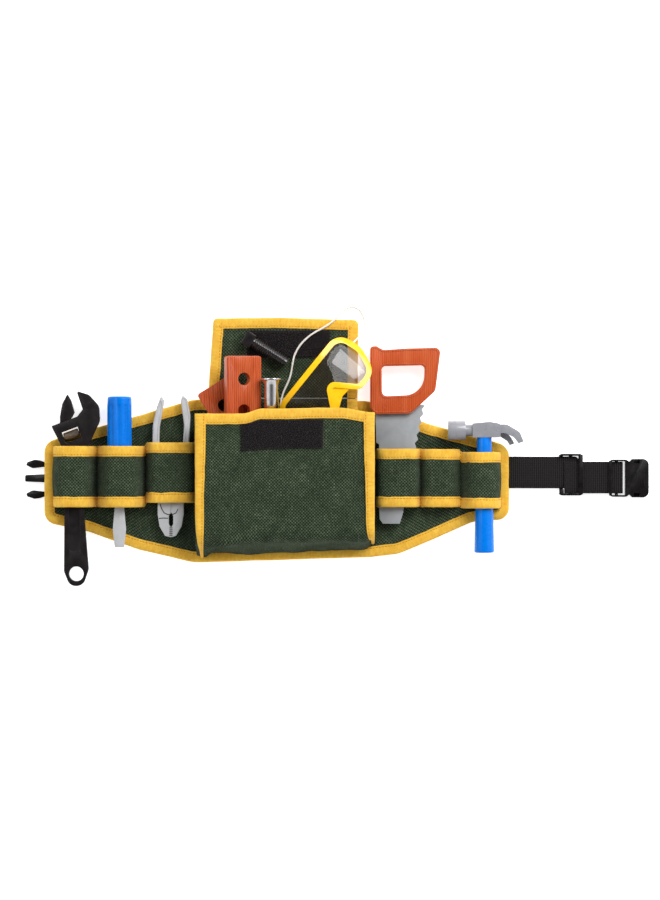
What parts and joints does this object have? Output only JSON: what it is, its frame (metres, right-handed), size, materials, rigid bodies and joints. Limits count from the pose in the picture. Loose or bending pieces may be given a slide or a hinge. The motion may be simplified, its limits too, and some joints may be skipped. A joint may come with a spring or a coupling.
{
  "type": "toy tool belt",
  "caption": "Toy tool belt with a box pouch, flap, tool loops, webbing strap and side-release buckle, loaded with toy tools, blocks and goggles.",
  "frame": {"origin": "middle of the back face of the back panel, in the plane that the belt lies on", "axes": "+X along the belt towards the strap, +Y towards the wearer's head, +Z out of the belt's front"},
  "size_m": [0.6226, 0.2793, 0.0489],
  "materials": {
    "green_canvas": "coarse plain weave",
    "yellow_tape": "folded cotton binding tape",
    "black_hook_fabric": "napped hook and loop tape",
    "black_webbing": "ribbed woven webbing",
    "black_plastic": "moulded, satin",
    "black_tool_plastic": "moulded, satin",
    "bronze_paint": "bronze coloured paint on plastic",
    "blue_plastic": "moulded, glossy",
    "silver_plastic": "silver pigmented plastic",
    "grey_plastic": "silver grey plastic",
    "orange_plastic": "moulded wood grain",
    "chrome_plating": "vacuum metallised plastic",
    "yellow_plastic": "moulded, glossy",
    "clear_lens": "clear plastic sheet",
    "white_elastic": "thin braided elastic"
  },
  "bodies": {
    "belt": {"back_panel": "green_canvas", "panel_binding": "yellow_tape", "loop_strip_left": "green_canvas", "loop_binding_left_top": "yellow_tape", "loop_binding_left_bottom": "yellow_tape", "loop_strip_right": "green_canvas", "loop_binding_right_top": "yellow_tape", "loop_binding_right_bottom": "yellow_tape", "pouch_front": "green_canvas", "pouch_gusset_left": "green_canvas", "pouch_gusset_right": "green_canvas", "pouch_mouth_binding": "yellow_tape", "pouch_binding_left": "yellow_tape", "pouch_binding_right": "yellow_tape", "hook_patch": "black_hook_fabric", "strap_webbing": "black_webbing", "buckle_tab": "black_webbing", "buckle_male": "black_plastic"},
    "flap": {"flap_cloth": "green_canvas", "flap_binding": "yellow_tape", "loop_patch": "black_hook_fabric"},
    "slider": {"strap_slider": "black_plastic"},
    "female_buckle": {"buckle_female": "black_plastic"},
    "upper_prong": {"buckle_prong_upper": "black_plastic"},
    "lower_prong": {"buckle_prong_lower": "black_plastic"},
    "wrench": {"wrench_body": "black_tool_plastic", "wrench_worm_pin": "black_tool_plastic"},
    "moving_jaw": {"wrench_jaw": "black_tool_plastic"},
    "worm": {"wrench_worm": "bronze_paint"},
    "screwdriver": {"screwdriver_handle": "blue_plastic", "screwdriver_blade": "silver_plastic"},
    "pliers": {"pliers_lower_half": "silver_plastic", "pliers_pivot_pin": "silver_plastic"},
    "pliers_other_half": {"pliers_upper_half": "silver_plastic"},
    "saw": {"saw_handle": "orange_plastic", "saw_blade": "grey_plastic"},
    "hammer": {"hammer_head": "silver_plastic", "hammer_handle": "blue_plastic"},
    "front_block": {"block_front": "orange_plastic"},
    "rear_block": {"block_rear": "orange_plastic"},
    "toy_nail": {"nail": "chrome_plating"},
    "toy_bolt": {"bolt": "black_tool_plastic"},
    "goggles": {"goggles_frame": "yellow_plastic", "goggles_lens": "clear_lens", "goggles_elastic": "white_elastic"}
  },
  "joints": [
    {"name": "flap_hinge", "type": "hinge", "parent": "belt", "child": "flap", "pos_m": [0, 0.0818, 0.0036], "axis": [1, 0, 0], "range_deg": [0, 8]},
    {"name": "slider_slide", "type": "slide", "parent": "belt", "child": "slider", "axis": [-1, 0, 0], "range_m": [0, 0.03]},
    {"name": "buckle_pivot", "type": "hinge", "parent": "belt", "child": "female_buckle", "pos_m": [0.339, 0.0029, 0.0051], "axis": [0, -1, 0], "range_deg": [0, 8]},
    {"name": "upper_prong_flex", "type": "hinge", "parent": "belt", "child": "upper_prong", "pos_m": [-0.2314, 0.01645, 0.0029], "axis": [0, 0, 1], "range_deg": [0, 6], "stiffness_Nm_per_rad": 0.05},
    {"name": "lower_prong_flex", "type": "hinge", "parent": "belt", "child": "lower_prong", "pos_m": [-0.2314, -0.01295, 0.0029], "axis": [0, 0, 1], "range_deg": [-6, 0], "stiffness_Nm_per_rad": 0.05},
    {"name": "wrench_slide", "type": "slide", "parent": "belt", "child": "wrench", "axis": [0, 1, 0], "range_m": [0, 0.14]},
    {"name": "moving_jaw_slide", "type": "slide", "parent": "wrench", "child": "moving_jaw", "axis": [0.9367, 0.3502, 0], "range_m": [-0.003, 0.005]},
    {"name": "worm_spin", "type": "hinge", "parent": "wrench", "child": "worm", "pos_m": [-0.20445, 0.04618, 0.0157], "axis": [0.9367, 0.3502, 0], "range_deg": [-460, 760]},
    {"name": "screwdriver_slide", "type": "slide", "parent": "belt", "child": "screwdriver", "axis": [0, 1, 0], "range_m": [0, 0.101]},
    {"name": "pliers_slide", "type": "slide", "parent": "belt", "child": "pliers", "axis": [0, 1, 0], "range_m": [0, 0.091]},
    {"name": "pliers_pivot", "type": "hinge", "parent": "pliers", "child": "pliers_other_half", "pos_m": [-0.1055, -0.008, 0.0099], "axis": [0, 0, -1], "range_deg": [0, 2.5]},
    {"name": "saw_slide", "type": "slide", "parent": "belt", "child": "saw", "axis": [0, 1, 0], "range_m": [0, 0.078]},
    {"name": "hammer_slide", "type": "slide", "parent": "belt", "child": "hammer", "axis": [0, 1, 0], "range_m": [0, 0.106]},
    {"name": "front_block_slide", "type": "slide", "parent": "belt", "child": "front_block", "axis": [0, -1, 0], "range_m": [-0.055, 0]},
    {"name": "rear_block_slide", "type": "slide", "parent": "belt", "child": "rear_block", "axis": [0.5225, -0.8526, 0], "range_m": [-0.065, 0]},
    {"name": "nail_slide", "type": "slide", "parent": "belt", "child": "toy_nail", "axis": [0, -1, 0], "range_m": [-0.07, 0]},
    {"name": "goggles_slide", "type": "slide", "parent": "flap", "child": "goggles", "axis": [0, -1, 0], "range_m": [-0.012, 0]},
    {"name": "bolt_lift", "type": "slide", "parent": "flap", "child": "toy_bolt", "axis": [0, 0, 1], "range_m": [0, 0.04]}
  ],
  "couplings": [
    {"joint": "worm_spin", "follows": "moving_jaw_slide", "rad_per_m": 2618},
    {"joint": "lower_prong_flex", "follows": "upper_prong_flex", "ratio": -1}
  ]
}
